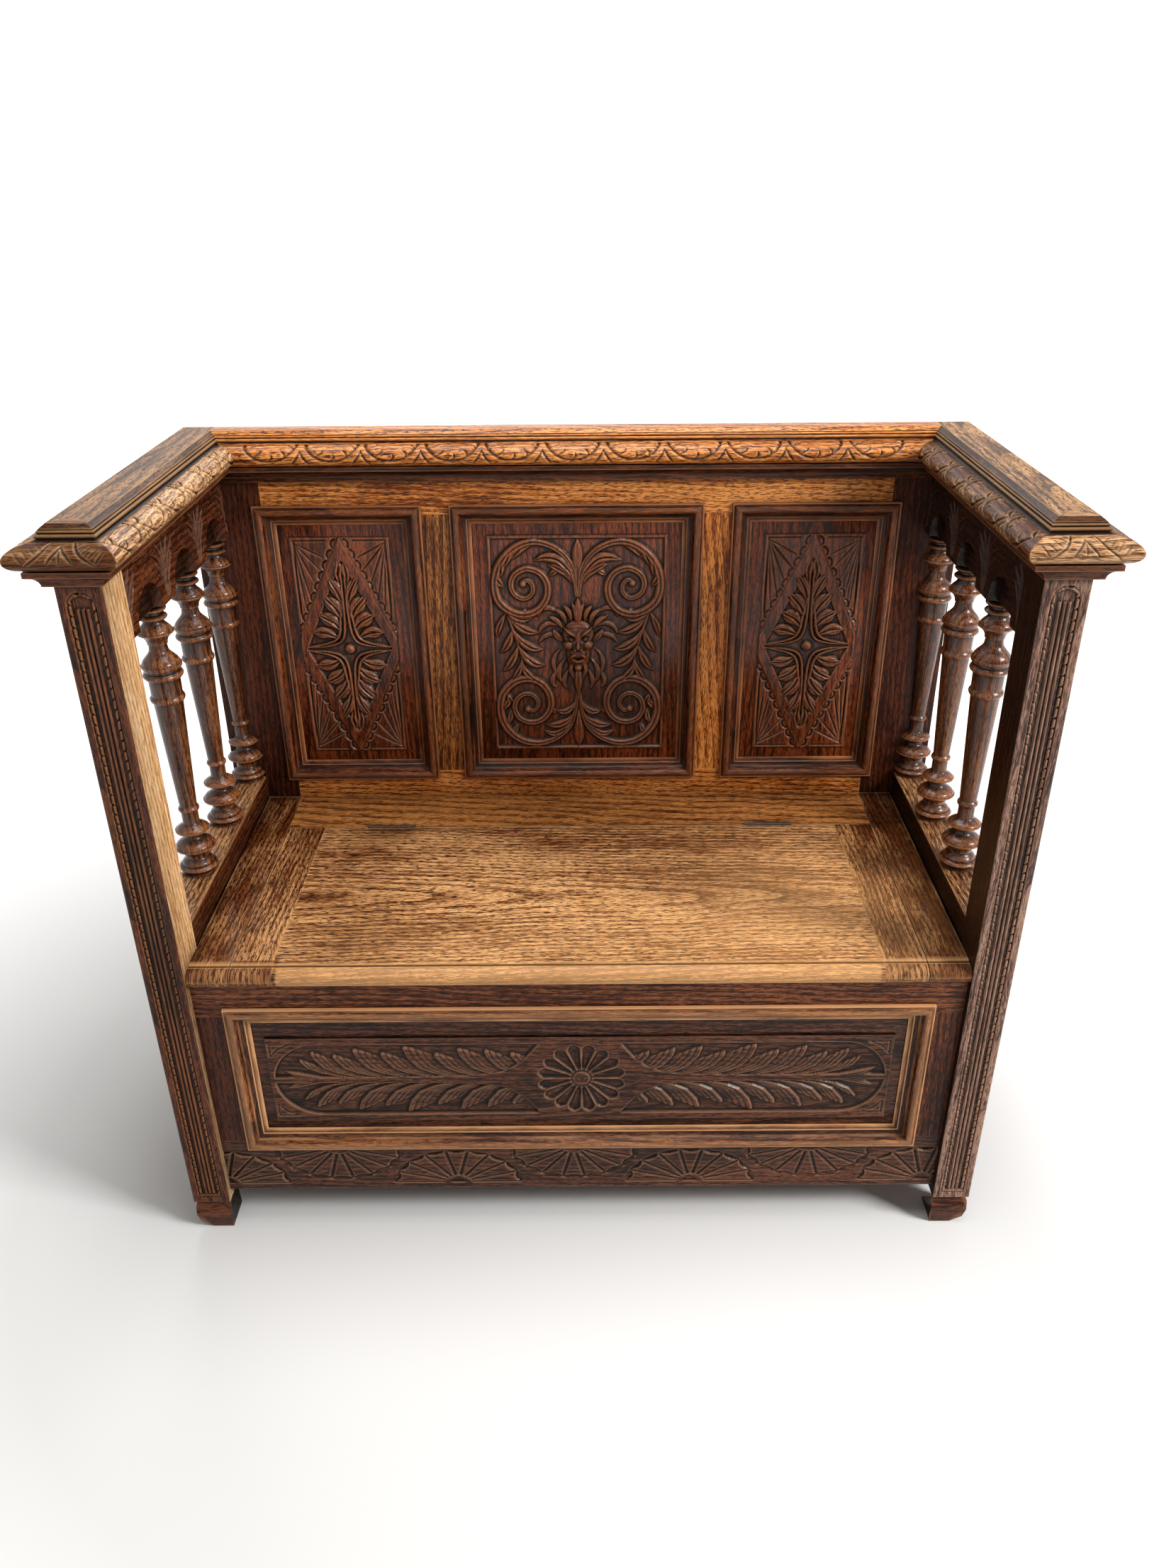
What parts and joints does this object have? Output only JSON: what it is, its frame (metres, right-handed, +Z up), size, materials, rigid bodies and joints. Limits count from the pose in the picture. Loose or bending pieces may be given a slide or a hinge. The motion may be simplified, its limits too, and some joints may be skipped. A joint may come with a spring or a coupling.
{
  "type": "carved settle bench",
  "caption": "Carved oak settle: a chest bench with a hinged seat lid, open arms on turned spindles, a panelled back and a moulded capping round three sides.",
  "frame": {"origin": "centre of the settle's outline in plan, on the floor", "axes": "+X to the right-hand arm as seen from in front, +Y from the front to the back, +Z up"},
  "size_m": [1.18, 0.523, 1.032],
  "materials": {
    "oak_dark": "dark stained oak, waxed, worn at the edges",
    "oak_red": "red-brown stained oak, waxed",
    "oak_golden": "golden-brown oak, polished by use",
    "oak_grey": "oak faded to a tan grey",
    "iron": "dark iron"
  },
  "bodies": {
    "settle": {"arcade_left": "oak_red", "arcade_right": "oak_red", "arm_rail_left": "oak_dark", "arm_rail_right": "oak_dark", "back_bottom_rail": "oak_golden", "back_moulding_centre": "oak_red", "back_moulding_left": "oak_red", "back_moulding_right": "oak_red", "back_muntin_left": "oak_golden", "back_muntin_right": "oak_golden", "back_panel_centre": "oak_red", "back_panel_left": "oak_red", "back_panel_right": "oak_red", "back_top_rail": "oak_golden", "bed_mould_back": "oak_dark", "bed_mould_left": "oak_dark", "bed_mould_right": "oak_dark", "cap_back": "oak_golden", "cap_left": "oak_grey", "cap_right": "oak_grey", "chest_back": "oak_dark", "chest_floor": "oak_dark", "foot_front_left": "oak_dark", "foot_front_right": "oak_dark", "foot_rear_left": "oak_dark", "foot_rear_right": "oak_dark", "front_apron_rail": "oak_dark", "front_moulding": "oak_red", "front_panel": "oak_dark", "front_post_left": "oak_dark", "front_post_right": "oak_dark", "front_stile_left": "oak_dark", "front_stile_right": "oak_dark", "front_top_rail": "oak_dark", "half_spindle_left": "oak_red", "half_spindle_right": "oak_red", "hinge_fixed_leaf_left": "iron", "hinge_fixed_leaf_right": "iron", "ledge_rail_left": "oak_red", "ledge_rail_right": "oak_red", "rear_post_left": "oak_red", "rear_post_right": "oak_red", "seat_back_strip": "oak_golden", "seat_bearer": "oak_dark", "seat_end_left": "oak_golden", "seat_end_right": "oak_golden", "side_bottom_rail_left": "oak_dark", "side_bottom_rail_right": "oak_dark", "side_panel_left": "oak_red", "side_panel_right": "oak_red", "spindle_left_1": "oak_red", "spindle_left_2": "oak_red", "spindle_right_1": "oak_red", "spindle_right_2": "oak_red"},
    "lid": {"lid_board": "oak_golden", "lid_cleat_left": "oak_golden", "lid_cleat_right": "oak_golden", "hinge_moving_leaf_left": "iron", "hinge_moving_leaf_right": "iron"}
  },
  "joints": [
    {"name": "lid_hinge", "type": "hinge", "parent": "settle", "child": "lid", "pos_m": [0, 0.1359, 0.453], "axis": [-1, 0, 0], "range_deg": [0, 98]}
  ]
}
